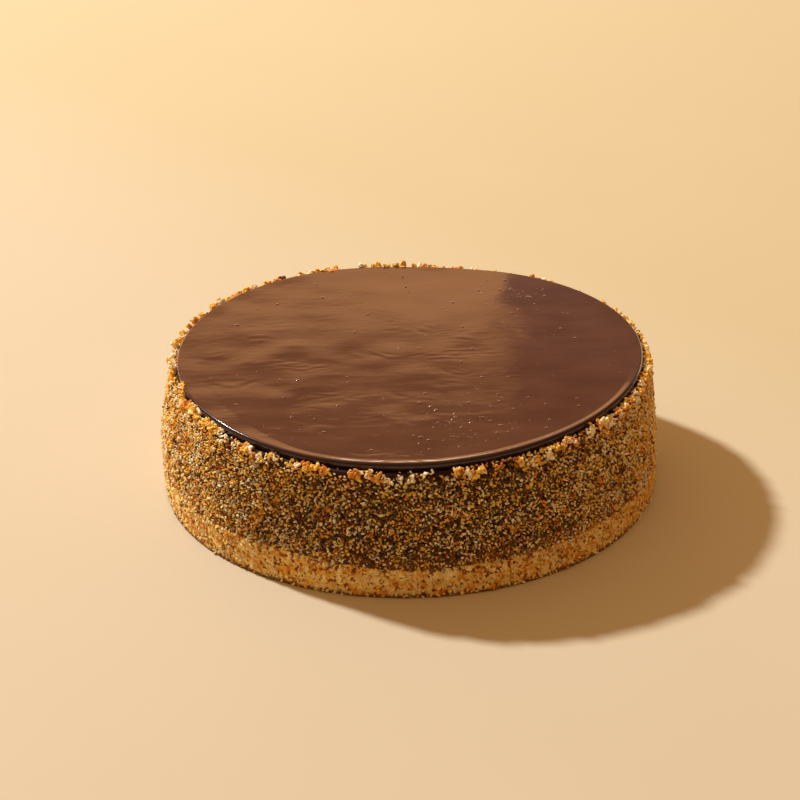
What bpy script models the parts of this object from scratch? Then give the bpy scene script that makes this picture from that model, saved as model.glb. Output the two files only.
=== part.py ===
"""A round, uncut tres leches cake: a cap of chocolate glaze, a side coated with sponge crumbs, a pale foot.

Metres, +Z up. The cake stands on z = 0 with its middle on the Z axis. Each piece is turned from a
profile, and then every point is moved a little, by the same rule for all three, to where an iced cake
has it: the rim wanders, the back has sunk slightly, and the foot layer's top edge rises and falls.
The crumbs are bumps of their own size on the side, and the largest stand out as lumps.
"""

import math
import random

import bmesh
import bpy
import numpy as np
from mathutils import Vector

MM = 0.001
SEED = 11

# Driving dimensions of the cake
HEIGHT = 54.0 * MM
WIDEST_RADIUS = 99.9 * MM
WIDEST_AT = 8.0 * MM
TAPER = 3.7 * MM  # how far the side has drawn in at the crumb crest
GAP = 0.3 * MM

# The chocolate glaze, a cap with a rounded shoulder
GLAZE_RADIUS = 92.7 * MM
GLAZE_THICKNESS = 4.0 * MM
SHOULDER_RADIUS = 3.2 * MM
SHOULDER_STEPS = 4
GLAZE_COLUMNS = 90

# The crumb crest round the glaze, which stands lower than the glaze's top
CREST_HEIGHT = 51.2 * MM
CREST_WIDTH = 1.6 * MM

# The pale layer at the foot
FOOT_HEIGHT = 13.0 * MM
FOOT_PROUD = 0.5 * MM

# Unevenness: (height of the wave in mm, waves round the cake, degrees where one peaks)
RIM_WAVES = ((1.4, 3, 21), (0.5, 2, 6))
FOOT_WAVES = ((1.0, 2, 215), (0.7, 5, 20), (0.4, 9, 5))
SUNK_DEPTH = 1.5 * MM
SUNK_MIDDLE = math.radians(82)
SUNK_SPREAD = math.radians(24)
FLAT_RADIUS = 78 * MM  # inside it the layers' faces are level
EDGE_RADIUS = 90 * MM  # outside it they take the whole of the waves

# Crumbs: the side's columns and rows are a crumb apart
COLUMNS = 160
CRUMB_PITCH = 3.3 * MM
CRUMB_OUT = 0.9 * MM  # how far a bump stands out, or a hollow goes in
CRUMB_ASIDE = 0.5 * MM
LUMP_UNEVEN = 0.22
CREST_LUMPS = 66
CREST_LUMP_RADII = (1.4 * MM, 2.0 * MM)
SIDE_LUMPS = 46
SIDE_LUMP_RADII = (1.3 * MM, 1.8 * MM)
GOLDEN_ANGLE = math.pi * (3 - math.sqrt(5))

COLLECTION = "tres_leches_cake"
MERGE = 0.01 * MM


def smooth_step(value, low, high):
    """0 below low, 1 above high, with a smooth rise between."""
    share = min(max((value - low) / (high - low), 0.0), 1.0)
    return share * share * (3 - 2 * share)


def waves(angle, rows):
    return MM * sum(height * math.cos(count * (angle - math.radians(peak))) for height, count, peak in rows)


def sunk(angle):
    """How far the cake's top has sunk at this angle."""
    away = math.remainder(angle - SUNK_MIDDLE, math.tau)
    return SUNK_DEPTH * math.exp(-((away / SUNK_SPREAD) ** 2))


def wall_radius(height):
    """The side's radius before its crumbs: widest near the foot, drawn in towards the top."""
    up = (height - WIDEST_AT) / (CREST_HEIGHT - WIDEST_AT)
    return WIDEST_RADIUS - TAPER * max(up, 0.0) ** 2


def settled(point):
    """A turned point moved to where the uneven cake has it. Neighbours move alike, so their gap stays."""
    radius = math.hypot(point.x, point.y)
    if radius < MERGE:
        return point
    angle = math.atan2(point.y, point.x)
    outward = smooth_step(radius, FLAT_RADIUS, EDGE_RADIUS)
    upward = smooth_step(point.z, HEIGHT / 2, HEIGHT - GLAZE_THICKNESS - GAP)
    by_foot = max(0.0, 1 - abs(point.z / FOOT_HEIGHT - 1))
    new_radius = radius + outward * upward * waves(angle, RIM_WAVES)
    rise = outward * by_foot * waves(angle, FOOT_WAVES) - outward * upward * sunk(angle)
    return Vector((new_radius * math.cos(angle), new_radius * math.sin(angle), point.z + rise))


def plain_material(name, colour, roughness):
    """A Principled BSDF of one colour, given as linear RGB."""
    material = bpy.data.materials.new(name)
    material.use_nodes = True
    shader = material.node_tree.nodes["Principled BSDF"]
    shader.inputs["Base Color"].default_value = (*colour, 1.0)
    shader.inputs["Roughness"].default_value = roughness
    shader.inputs["Metallic"].default_value = 0.0
    material.diffuse_color = (*colour, 1.0)
    return material


def turned(name, profile, columns, collection):
    """A closed solid: the profile runs from the top of the axis, down its outer side, to the axis again."""
    mesh = bpy.data.meshes.new(name)
    points = [(radius, 0.0, height) for radius, height in profile]
    edges = [(i, i + 1) for i in range(len(points) - 1)]
    mesh.from_pydata(points, edges, [])
    solid = bpy.data.objects.new(name, mesh)
    collection.objects.link(solid)
    screw = solid.modifiers.new("Turn", "SCREW")
    screw.axis = "Z"
    screw.angle = math.tau
    screw.steps = columns
    screw.render_steps = columns
    screw.use_merge_vertices = True
    screw.merge_threshold = MERGE
    apply_modifiers(solid)
    return solid


def apply_modifiers(solid):
    graph = bpy.context.evaluated_depsgraph_get()
    mesh = bpy.data.meshes.new_from_object(solid.evaluated_get(graph))
    solid.modifiers.clear()
    old = solid.data
    solid.data = mesh
    bpy.data.meshes.remove(old)
    mesh.name = solid.name


def wall_rows(low, high):
    """Heights of the rows of bumps between two heights, top to bottom, without the ends."""
    count = round((high - low) / CRUMB_PITCH)
    return [high + (low - high) * i / count for i in range(1, count)]


def rough_side(solid, rows, rng):
    """Makes the side's points crumbs: alternate rows step half a column on, then all points move at random."""
    row_of = {round(height / MERGE): i for i, height in enumerate(rows)}
    for vertex in sorted(solid.data.vertices, key=lambda v: tuple(round(c, 6) for c in v.co)):
        radius = math.hypot(vertex.co.x, vertex.co.y)
        row = row_of.get(round(vertex.co.z / MERGE))
        if row is None or radius < wall_radius(vertex.co.z) - CREST_WIDTH:
            continue
        inner_row = 0 < row < len(rows) - 1
        half_column = math.pi / COLUMNS if inner_row and row % 2 else 0.0
        aside = rng.uniform(-CRUMB_ASIDE, CRUMB_ASIDE) / radius
        angle = math.atan2(vertex.co.y, vertex.co.x) + half_column + aside
        radius += rng.uniform(-CRUMB_OUT, CRUMB_OUT)
        height = vertex.co.z + (rng.uniform(-CRUMB_ASIDE, CRUMB_ASIDE) if inner_row else 0.0)
        vertex.co = (radius * math.cos(angle), radius * math.sin(angle), height)


def settle(solid):
    """Moves every point by the cake's unevenness and splits the faces along their short diagonals."""
    for vertex in solid.data.vertices:
        vertex.co = settled(vertex.co)
    shape = bmesh.new()
    shape.from_mesh(solid.data)
    bmesh.ops.triangulate(shape, faces=shape.faces, quad_method="SHORT_EDGE")
    shape.to_mesh(solid.data)
    shape.free()


def crumb_lump(index, place, radius, rng, collection):
    """One large crumb: a ball of twenty faces with its corners pulled about."""
    shape = bmesh.new()
    bmesh.ops.create_icosphere(shape, subdivisions=1, radius=radius)
    turn = rng.uniform(0, math.tau)
    cosine, sine = math.cos(turn), math.sin(turn)
    for vertex in shape.verts:
        x, y, z = vertex.co * (1 + rng.uniform(-LUMP_UNEVEN, LUMP_UNEVEN))
        vertex.co = place + Vector((x * cosine - y * sine, x * sine + y * cosine, z))
    mesh = bpy.data.meshes.new(f"crumb_{index}")
    shape.to_mesh(mesh)
    shape.free()
    collection.objects.link(bpy.data.objects.new(mesh.name, mesh))


def crumb_places(rng):
    """(place, radius) of the largest crumbs: evenly along the crest, then spread over the side."""
    for i in range(CREST_LUMPS):
        radius = rng.uniform(*CREST_LUMP_RADII)
        angle = math.tau * (i + rng.uniform(-0.28, 0.28)) / CREST_LUMPS
        height = CREST_HEIGHT - rng.uniform(0.2, 1.4) * MM
        out = GLAZE_RADIUS + GAP + radius * (1 + LUMP_UNEVEN) + rng.uniform(0.2, 0.7) * MM
        yield Vector((out * math.cos(angle), out * math.sin(angle), height)), radius
    lowest, highest = FOOT_HEIGHT + 4 * MM, CREST_HEIGHT - 6 * MM
    for i in range(SIDE_LUMPS):
        radius = rng.uniform(*SIDE_LUMP_RADII)
        angle = i * GOLDEN_ANGLE
        height = lowest + (highest - lowest) * (i + 0.5) / SIDE_LUMPS
        out = wall_radius(height) - 0.1 * radius
        yield Vector((out * math.cos(angle), out * math.sin(angle), height)), radius


def add_lumps(body, rng):
    """Fuses the largest crumbs to the cake with one union."""
    lumps = bpy.data.collections.new("large_crumbs")
    bpy.context.scene.collection.children.link(lumps)
    for index, (place, radius) in enumerate(crumb_places(rng)):
        crumb_lump(index, settled(place), radius, rng, lumps)
    union = body.modifiers.new("Crumbs", "BOOLEAN")
    union.operation = "UNION"
    union.operand_type = "COLLECTION"
    union.collection = lumps
    union.solver = "EXACT"
    apply_modifiers(body)
    for lump in list(lumps.objects):
        bpy.data.meshes.remove(lump.data)
    bpy.data.collections.remove(lumps)


def foot_layer(collection, rng):
    """The pale crumb layer that the cake stands on. It runs through, and shows as a band round the foot."""
    top = FOOT_HEIGHT - GAP / 2
    rows = [top, *wall_rows(0.0, top), 0.0]
    side = [(wall_radius(height) + FOOT_PROUD, height) for height in rows]
    cap = [(0.0, top), (FLAT_RADIUS, top), (EDGE_RADIUS, top)]
    solid = turned("foot_layer", cap + side + [(FLAT_RADIUS, 0.0), (0.0, 0.0)], COLUMNS, collection)
    rough_side(solid, rows, rng)
    settle(solid)
    return solid


def cake_body(collection, rng):
    """The soaked sponge in its crumb coat: a shallow tray for the glaze, bumps and lumps at the side."""
    bottom = FOOT_HEIGHT + GAP / 2
    tray = HEIGHT - GLAZE_THICKNESS - GAP
    tray_wall = GLAZE_RADIUS + GAP
    rows = [CREST_HEIGHT - CREST_WIDTH, *wall_rows(bottom, CREST_HEIGHT - CREST_WIDTH), bottom]
    crest = [(tray_wall, tray), (tray_wall, CREST_HEIGHT - GAP), (tray_wall + CREST_WIDTH, CREST_HEIGHT)]
    side = [(wall_radius(height), height) for height in rows]
    under = [(EDGE_RADIUS, bottom), (FLAT_RADIUS, bottom), (0.0, bottom)]
    top = [(0.0, tray), (FLAT_RADIUS, tray)]
    solid = turned("cake_body", top + crest + side + under, COLUMNS, collection)
    rough_side(solid, rows, rng)
    settle(solid)
    add_lumps(solid, rng)
    return solid


def chocolate_glaze(collection):
    """The cap of glaze: level on top, with a round shoulder that runs down to the crumbs."""
    bottom = HEIGHT - GLAZE_THICKNESS
    centre = (GLAZE_RADIUS - SHOULDER_RADIUS, HEIGHT - SHOULDER_RADIUS)
    turns = [math.pi / 2 * (1 - i / SHOULDER_STEPS) for i in range(SHOULDER_STEPS + 1)]
    shoulder = [
        (centre[0] + SHOULDER_RADIUS * math.cos(turn), centre[1] + SHOULDER_RADIUS * math.sin(turn))
        for turn in turns
    ]
    top = [(0.0, HEIGHT), (FLAT_RADIUS, HEIGHT)]
    under = [(GLAZE_RADIUS, bottom), (FLAT_RADIUS, bottom), (0.0, bottom)]
    solid = turned("chocolate_glaze", top + shoulder + under, GLAZE_COLUMNS, collection)
    settle(solid)
    return solid


def finish(solid, material, sharp_degrees):
    solid.data.materials.clear()
    solid.data.materials.append(material)
    solid.data.shade_smooth()
    solid.data.set_sharp_from_angle(angle=math.radians(sharp_degrees))


def main():
    for old in list(bpy.data.objects):
        bpy.data.objects.remove(old)
    collection = bpy.data.collections.new(COLLECTION)
    bpy.context.scene.collection.children.link(collection)
    rng = random.Random(SEED)
    finish(foot_layer(collection, rng), plain_material("golden_crumb", (0.55, 0.30, 0.09), 0.85), 35)
    finish(cake_body(collection, rng), plain_material("crumb_coat", (0.30, 0.15, 0.05), 0.85), 35)
    finish(chocolate_glaze(collection), plain_material("chocolate_glaze", (0.085, 0.035, 0.018), 0.12), 40)
    for solid in collection.objects:
        size = np.ptp([vertex.co for vertex in solid.data.vertices], axis=0) / MM
        solid.data.calc_loop_triangles()
        print(f"{solid.name}: {len(solid.data.loop_triangles)} triangles, {size.round(1)} mm")


main()
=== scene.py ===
# %% [markdown]
# # A tres leches cake under chocolate glaze, rolled in sponge crumbs
#
# The plain solids of the cake are packed already: a body, a cap of glaze and a foot layer. This lesson
# dresses them. Each solid gives way to a finer piece of the same form, and the crumbs, which are far too
# many for a solid, are made here as real little bodies. Everything is in metres, with the cake standing
# on z = 0, so a piece made at the right numbers is already in its place.

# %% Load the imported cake
import math

import bmesh
import bpy
import numpy as np
from mathutils import Matrix, Quaternion, Vector, noise


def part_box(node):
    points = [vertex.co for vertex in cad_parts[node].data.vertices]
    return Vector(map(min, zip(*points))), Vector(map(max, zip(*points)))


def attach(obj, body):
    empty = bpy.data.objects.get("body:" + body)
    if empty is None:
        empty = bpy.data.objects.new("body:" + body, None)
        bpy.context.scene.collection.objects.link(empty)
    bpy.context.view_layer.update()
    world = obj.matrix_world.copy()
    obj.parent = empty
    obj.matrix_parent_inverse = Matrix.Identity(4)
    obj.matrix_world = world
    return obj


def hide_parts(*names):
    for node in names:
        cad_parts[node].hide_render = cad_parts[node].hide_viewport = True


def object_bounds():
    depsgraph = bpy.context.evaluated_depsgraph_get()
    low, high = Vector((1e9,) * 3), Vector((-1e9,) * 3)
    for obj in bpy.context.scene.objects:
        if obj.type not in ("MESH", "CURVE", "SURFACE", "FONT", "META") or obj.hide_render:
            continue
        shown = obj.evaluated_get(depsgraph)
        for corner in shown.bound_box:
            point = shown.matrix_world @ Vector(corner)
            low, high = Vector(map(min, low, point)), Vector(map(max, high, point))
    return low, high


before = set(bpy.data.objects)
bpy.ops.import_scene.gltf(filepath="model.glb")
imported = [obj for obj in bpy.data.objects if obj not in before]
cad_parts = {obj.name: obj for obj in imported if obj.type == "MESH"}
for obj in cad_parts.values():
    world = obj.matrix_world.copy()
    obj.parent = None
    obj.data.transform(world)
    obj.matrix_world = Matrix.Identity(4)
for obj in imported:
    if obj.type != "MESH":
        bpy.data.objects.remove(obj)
cad_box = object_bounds()
print("nodes:", sorted(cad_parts), "box:", cad_box)

# %% [markdown]
# ## The cake's own shape
#
# The real cake is round but not perfect: its rim wanders, its back has sunk a little, and the edge of the
# foot layer rises and falls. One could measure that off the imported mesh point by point. A formula is
# better here, because crumbs, glaze and core can all ask it where the surface is. The heights come from
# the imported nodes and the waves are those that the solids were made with.

# %% Sizes that every piece shares
MM = 0.001
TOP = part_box("chocolate_glaze")[1].z
GLAZE_UNDER = TOP - 4.0 * MM
GLAZE_RADIUS = 92.7 * MM
FOOT_HEIGHT = 13.0 * MM
CREST_HEIGHT = 51.2 * MM
WIDEST_RADIUS = 99.9 * MM
WIDEST_AT = 8.0 * MM
TAPER = 3.7 * MM
FOOT_PROUD = 0.5 * MM
GAP = 0.3 * MM
FLAT_RADIUS = 78 * MM
EDGE_RADIUS = 90 * MM
SUNK_DEPTH = 1.5 * MM
SUNK_MIDDLE = math.radians(82)
SUNK_SPREAD = math.radians(24)
SINK_FROM = 25 * MM  # the glaze itself starts to sink here
BULGES = ((1.2, 186, 42), (0.5, -4, 40))  # height in mm, degrees of the middle, half width in degrees
BULGE_AT = (26 * MM, 13 * MM)
RIM_WAVES = ((1.4, 3, 21), (0.5, 2, 6))  # height in mm, waves round the cake, degrees of a peak
FOOT_WAVES = ((1.0, 2, 215), (0.7, 5, 20), (0.4, 9, 5))


def smooth_step(value, low, high):
    share = np.clip((value - low) / (high - low), 0.0, 1.0)
    return share * share * (3 - 2 * share)


def waves(angle, rows):
    return MM * sum(height * np.cos(count * (angle - math.radians(peak))) for height, count, peak in rows)


def sunk(angle):
    away = (angle - SUNK_MIDDLE + math.pi) % math.tau - math.pi
    return SUNK_DEPTH * np.exp(-((away / SUNK_SPREAD) ** 2))


def near(angle, middle, width):
    """1 at a middle angle in degrees, falling to 0 over this width."""
    away = (np.degrees(angle) - middle + 180) % 360 - 180
    return np.exp(-((away / width) ** 2))


def wall_radius(height):
    up = np.maximum((height - WIDEST_AT) / (CREST_HEIGHT - WIDEST_AT), 0.0)
    return WIDEST_RADIUS - TAPER * up**2


def settled(radius, angle, height):
    """Points of the ideal turned cake, moved to where the uneven cake has them."""
    outward = smooth_step(radius, FLAT_RADIUS, EDGE_RADIUS)
    upward = smooth_step(height, TOP / 2, GLAZE_UNDER - GAP)
    by_foot = np.clip(1 - np.abs(height / FOOT_HEIGHT - 1), 0.0, 1.0)
    bulge = MM * sum(reach * near(angle, middle, width) for reach, middle, width in BULGES)
    bulge *= np.exp(-(((height - BULGE_AT[0]) / BULGE_AT[1]) ** 2))
    new_radius = radius + outward * (upward * waves(angle, RIM_WAVES) + bulge)
    rise = outward * by_foot * waves(angle, FOOT_WAVES) - outward * upward * sunk(angle)
    return np.stack([new_radius * np.cos(angle), new_radius * np.sin(angle), height + rise], axis=-1)


print(f"cake {2 * WIDEST_RADIUS / MM:.0f} mm across, {TOP / MM:.0f} mm high")

# %% [markdown]
# ## Arithmetic on sockets
#
# A finish is a small sum: so much toast here, so much shine there. Node trees hide such sums in boxes and
# strings. Wrapping a socket in a class with operators lets the sum be written as it is thought, and
# each operator adds its Math node. Colours go through a Mix node, because a Math node would turn them grey.


# %% A socket that does sums
class Wire:
    """A node's output. 1 - mask * 0.5 adds the Math nodes for it."""

    def __init__(self, tree, socket):
        self.tree = tree
        self.socket = socket

    @classmethod
    def make(cls, tree, kind, settings=(), sockets=(), output=0):
        """Adds any node: its settings first, then the values or links of its sockets."""
        node = tree.nodes.new(kind)
        for name, value in dict(settings).items():
            setattr(node, name, value)
        for name, value in dict(sockets).items():
            if isinstance(value, Wire):
                tree.links.new(value.socket, node.inputs[name])
            else:
                node.inputs[name].default_value = value
        return cls(tree, node.outputs[output])

    def sum(self, operation, first, second):
        return Wire.make(self.tree, "ShaderNodeMath", {"operation": operation}, {0: first, 1: second})

    def __add__(self, other):
        return self.sum("ADD", self, other)

    def __radd__(self, other):
        return self.sum("ADD", other, self)

    def __sub__(self, other):
        return self.sum("SUBTRACT", self, other)

    def __rsub__(self, other):
        return self.sum("SUBTRACT", other, self)

    def __mul__(self, other):
        return self.sum("MULTIPLY", self, other)

    def __rmul__(self, other):
        return self.sum("MULTIPLY", other, self)


print("a Wire adds, subtracts and multiplies")


# %% Colours, noise and finishes
def mixed(tree, share, first, second):
    """A colour between two, each an RGB triple or a Wire."""
    colours = [value if isinstance(value, Wire) else (*value, 1.0) for value in (first, second)]
    settings = {"data_type": "RGBA"}
    return Wire.make(tree, "ShaderNodeMix", settings, {0: share, 6: colours[0], 7: colours[1]}, output=2)


def grain(tree, size, detail=2.0, stretch=(1, 1, 1)):
    """Smooth noise from 0 to 1 that changes over about this size in metres, on the object's own points."""
    place = Wire.make(tree, "ShaderNodeTexCoord", output="Object")
    scaled = Wire.make(
        tree, "ShaderNodeVectorMath", {"operation": "MULTIPLY"}, {0: place, 1: [s / size for s in stretch]}
    )
    return Wire.make(tree, "ShaderNodeTexNoise", (), {"Vector": scaled, "Scale": 1.0, "Detail": detail})


def stepped(tree, value, low, high):
    """0 below low, 1 above high, straight between."""
    return Wire.make(tree, "ShaderNodeMapRange", (), {"Value": value, "From Min": low, "From Max": high})


def linear(red, green, blue):
    """The linear colour of an sRGB one given from 0 to 255."""
    shares = [channel / 255 for channel in (red, green, blue)]
    return tuple(((share + 0.055) / 1.055) ** 2.4 if share > 0.04 else share / 12.92 for share in shares)


def finish(name, constants, pattern):
    """A material: constants on the Principled shader's own sockets, and the links that pattern returns."""
    material = bpy.data.materials.new(name)
    material.use_nodes = True
    shader = material.node_tree.nodes["Principled BSDF"]
    for socket, value in constants.items():
        shader.inputs[socket].default_value = value
    for socket, wire in pattern(material.node_tree).items():
        material.node_tree.links.new(wire.socket, shader.inputs[socket])
    return material


print("sRGB mid grey is", round(linear(128, 128, 128)[0], 3), "in linear light")

# %% [markdown]
# ## Camera
#
# The photo looks down at the cake by about 27 degrees through a long lens, from just under a metre away.
# The camera was fitted to the round outline of the foot and the glaze, so it is placed from an aim point,
# a distance and two angles rather than by hand.

# %% Place the camera
VIEW_DOWN = math.radians(26.75)
VIEW_ROLL = -0.0205
VIEW_DISTANCE = 0.9478
AIM_RIGHT = -3.6 * MM
AIM_UP = 29.1 * MM
LENS = 103.5
SENSOR = 36.0

toward = Vector((0, math.cos(VIEW_DOWN), -math.sin(VIEW_DOWN)))
right = Vector((1, 0, 0))
up = right.cross(toward)
camera_right = math.cos(VIEW_ROLL) * right + math.sin(VIEW_ROLL) * up
camera_up = math.cos(VIEW_ROLL) * up - math.sin(VIEW_ROLL) * right
camera_place = AIM_RIGHT * right + AIM_UP * up - VIEW_DISTANCE * toward
camera_data = bpy.data.cameras.new("photo_camera")
camera_data.lens = LENS
camera_data.sensor_width = SENSOR
camera_data.clip_start = 0.01
camera = bpy.data.objects.new("photo_camera", camera_data)
camera_turn = Matrix((camera_right, camera_up, -toward)).transposed().to_4x4()
camera.matrix_world = Matrix.Translation(camera_place) @ camera_turn
bpy.context.scene.collection.objects.link(camera)
bpy.context.scene.camera = camera
print("camera at", [round(c, 3) for c in camera_place])

# %% [markdown]
# ## Light
#
# One small lamp stands to the left and behind, about 42 degrees up, and throws the short crisp shadow. The
# rest is the warm light of a pale room, stronger from above. A glossy glaze shows what it reflects, so a
# broad tan reflector stands far behind on the left: its reflection is the lighter half of the cake's top. A
# low bright strip along the horizon gives the thin light line round the glaze's lip, and a small window far
# to the left lights that line where the lip turns to the right.

# %% Lamp and room
KEY_TOWARD = Vector((-0.594, 0.441, 0.662))
KEY_AWAY = 4.0
KEY_PLACE = KEY_AWAY * KEY_TOWARD
KEY_WIDTH = 0.30
KEY_WATTS = 212.0
ROOM_LOW = (0.15, 0.090, 0.046)
ROOM_HIGH = (0.92, 0.52, 0.22)
ROOM_STEP = (0.35, 0.95)  # how far upward the light changes from one to the other

lamp_data = bpy.data.lights.new("key_lamp", "AREA")
lamp_data.shape = "DISK"
lamp_data.size = KEY_WIDTH
lamp_data.energy = KEY_WATTS
lamp = bpy.data.objects.new("key_lamp", lamp_data)
lamp.location = KEY_PLACE
lamp.rotation_euler = (-KEY_PLACE).to_track_quat("-Z", "Y").to_euler()
lamp.visible_camera = False
bpy.context.scene.collection.objects.link(lamp)

world = bpy.data.worlds.new("pale_room")
world.use_nodes = True
room = world.node_tree
direction = Wire.make(room, "ShaderNodeTexCoord", output="Generated")
upward = Wire.make(room, "ShaderNodeSeparateXYZ", (), {"Vector": direction}, output="Z")
room_light = mixed(room, stepped(room, upward, *ROOM_STEP), ROOM_LOW, ROOM_HIGH)
room.links.new(room_light.socket, room.nodes["Background"].inputs["Color"])
bpy.context.scene.world = world
print("lamp", tuple(round(c, 2) for c in KEY_PLACE))

# %% Reflector, bright strip, window and floor
TAN_HALF = 2.2
TAN_EDGE = 0.158
TAN_LEAN = 0.054  # how far its edge leans left below these heights
LEAN_HEIGHTS = (0.86, 0.99)
TAN_BLUR = 0.008
TAN_TOP = 1.14
TAN_FADE = 0.24
TAN_AWAY = 2.0
TAN_LIGHT = (1.46, 0.72, 0.29)
GREY_LIGHT = (0.27, 0.18, 0.145)
STRIP_TOP = 0.42
STRIP_LIGHT = (3.9, 2.7, 1.9)
WINDOW_ENDS = (-2.2, -0.6)
WINDOW_HEIGHTS = (0.30, 0.70)
WINDOW_FADE = 0.15
WINDOW_NEARER = 0.02  # so that it stands before the strip and the reflector
WINDOW_LIGHT = (3.3, 2.15, 1.5)
FLOOR_COLOUR = (0.555, 0.474, 0.332)
FLOOR_FAR = (0.532, 0.441, 0.258)
FLOOR_TURN = (0.05, 0.3)  # the floor's tone changes where X + Y passes these
FLOOR_CLOUD = 0.04
FLOOR_HALF = 4.0
FLOOR_DROP = 0.05 * MM
FOUR_CORNERS = np.array([(0, 1, 2, 3)])


def position(tree, axis):
    """One coordinate of the object's own points."""
    place = Wire.make(tree, "ShaderNodeTexCoord", output="Object")
    return Wire.make(tree, "ShaderNodeSeparateXYZ", (), {"Vector": place}, output=axis)


def new_piece(name, points, faces, material, smooth):
    mesh = bpy.data.meshes.new(name)
    mesh.from_pydata(points.tolist(), [], faces.tolist())
    mesh.materials.append(material)
    (mesh.shade_smooth if smooth else mesh.shade_flat)()
    piece = bpy.data.objects.new(name, mesh)
    bpy.context.scene.collection.objects.link(piece)
    return piece


def lit_panel(name, low, high, fade, left_light, right_light, ends=(-TAN_HALF, TAN_HALF), nearer=0.0):
    """An upright panel whose two halves give off different light, and which fades out along its top."""

    def pattern(tree):
        lean = TAN_LEAN * (1 - stepped(tree, position(tree, "Z"), *LEAN_HEIGHTS))
        side = stepped(tree, position(tree, "X") + lean, TAN_EDGE - TAN_BLUR, TAN_EDGE + TAN_BLUR)
        share = 1 - stepped(tree, position(tree, "Z"), high - fade, high)
        return {"Emission Color": mixed(tree, share, ROOM_LOW, mixed(tree, side, left_light, right_light))}

    constants = {"Base Color": (0, 0, 0, 1), "Roughness": 1.0, "Specular IOR Level": 0.0}
    material = finish(name, {**constants, "Emission Strength": 1.0}, pattern)
    corners = ((ends[0], low), (ends[1], low), (ends[1], high), (ends[0], high))
    points = np.array([(x, TAN_AWAY - nearer, z) for x, z in corners])
    panel = new_piece(name, points, FOUR_CORNERS, material, smooth=False)
    panel.visible_camera = False


def floor_pattern(tree):
    cloud = grain(tree, 0.12, detail=3.0)
    far = stepped(tree, position(tree, "X") + position(tree, "Y"), *FLOOR_TURN)
    tone = mixed(tree, far, FLOOR_COLOUR, FLOOR_FAR)
    return {"Base Color": mixed(tree, FLOOR_CLOUD * cloud, tone, (1, 1, 1))}


lit_panel("tan_reflector", STRIP_TOP, TAN_TOP, TAN_FADE, TAN_LIGHT, GREY_LIGHT)
lit_panel("bright_strip", 0.0, STRIP_TOP, STRIP_TOP / 3, STRIP_LIGHT, STRIP_LIGHT)
window_lights = (WINDOW_LIGHT, WINDOW_LIGHT)
lit_panel("window", *WINDOW_HEIGHTS, WINDOW_FADE, *window_lights, WINDOW_ENDS, WINDOW_NEARER)
floor_points = FLOOR_HALF * np.array([(-1, -1, 0), (1, -1, 0), (1, 1, 0), (-1, 1, 0)])
floor_material = finish("pale_floor", {"Roughness": 0.85, "Specular IOR Level": 0.2}, floor_pattern)
floor = new_piece("floor", floor_points, FOUR_CORNERS, floor_material, smooth=False)
floor.location.z = -FLOOR_DROP

bpy.context.scene.view_settings.view_transform = "Standard"
bpy.context.scene.view_settings.look = "None"
print("reflector edge at x =", TAN_EDGE)

# %% [markdown]
# ## Meshes turned from a profile
#
# The glaze and the two cores are round, so each is a profile swept round the axis. A Screw modifier would do
# it, but here every point also needs its own small displacement before the mesh exists. So the points are
# laid out as an array of rows and columns, shaped by a function, and then joined into faces.


# %% Build a turned piece
def ring_faces(rings, columns):
    """Faces that join rings of points from the top down, and close them with two points that follow."""
    here = np.arange(columns)
    after = (here + 1) % columns
    last = (rings - 1) * columns
    faces = []
    for upper in range(0, last, columns):
        lower = upper + columns
        faces.append(np.stack([upper + here, lower + here, lower + after], axis=1))
        faces.append(np.stack([upper + here, lower + after, upper + after], axis=1))
    end = np.full(columns, rings * columns)
    faces.append(np.stack([end, here, after], axis=1))
    faces.append(np.stack([end + 1, last + after, last + here], axis=1))
    return np.concatenate(faces)


def turned_piece(name, profile, columns, shape, material, smooth=True):
    """A closed piece from (radius, height) rows, the first and last on the axis. shape gives the points."""
    rows = np.array(profile)
    angle = np.arange(columns) * math.tau / columns
    radius = np.repeat(rows[1:-1, 0], columns)
    height = np.repeat(rows[1:-1, 1], columns)
    around = np.tile(angle, len(rows) - 2)
    ring_points = shape(radius, around, height)
    ends = shape(rows[[0, -1], 0], np.zeros(2), rows[[0, -1], 1])
    points = np.concatenate([ring_points, ends])
    return new_piece(name, points, ring_faces(len(rows) - 2, columns), material, smooth)


print("a ring of 4 closed at both ends has", len(ring_faces(1, 4)), "faces")


# %% Noise, profiles and dressing
def soft_noise(points, sizes, seed):
    """Smooth random values from about -1 to 1, which change over these sizes along X, Y and Z."""
    scaled = points / np.array(sizes) + 17.3 * seed
    return np.array([noise.noise(Vector(point)) for point in scaled])


def round_corner(centre, radius, first, last, steps):
    """Profile points on an arc, with angles in degrees above the outward direction."""
    turns = np.radians(np.linspace(first, last, steps))
    return [(centre[0] + radius * math.cos(t), centre[1] + radius * math.sin(t)) for t in turns]


def flat_rows(height, outward):
    """Profile points of a flat face, from the axis outward or back to it."""
    rows = [(0.0, height), (40 * MM, height), (80 * MM, height)]
    return rows if outward else rows[::-1]


def dress(piece, node):
    """Puts a piece on the cake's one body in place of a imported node."""
    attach(piece, "root")
    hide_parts(node)
    print(f"{piece.name}: {len(piece.data.polygons)} faces for {node}")


# %% [markdown]
# ## The glaze
#
# The glaze was poured and drawn level with a spatula. What tells the eye is its reflection: a tilt of one
# degree moves the reflected room by two, so waves of a few hundredths of a millimetre show as streaks. They
# are modelled in the mesh and not painted. The knife also leaves a low lip inside the edge. It is sharp in
# front, broad on the right and droops on the left, so it is a short list of marks round the cake with
# smooth steps between them.

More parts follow.
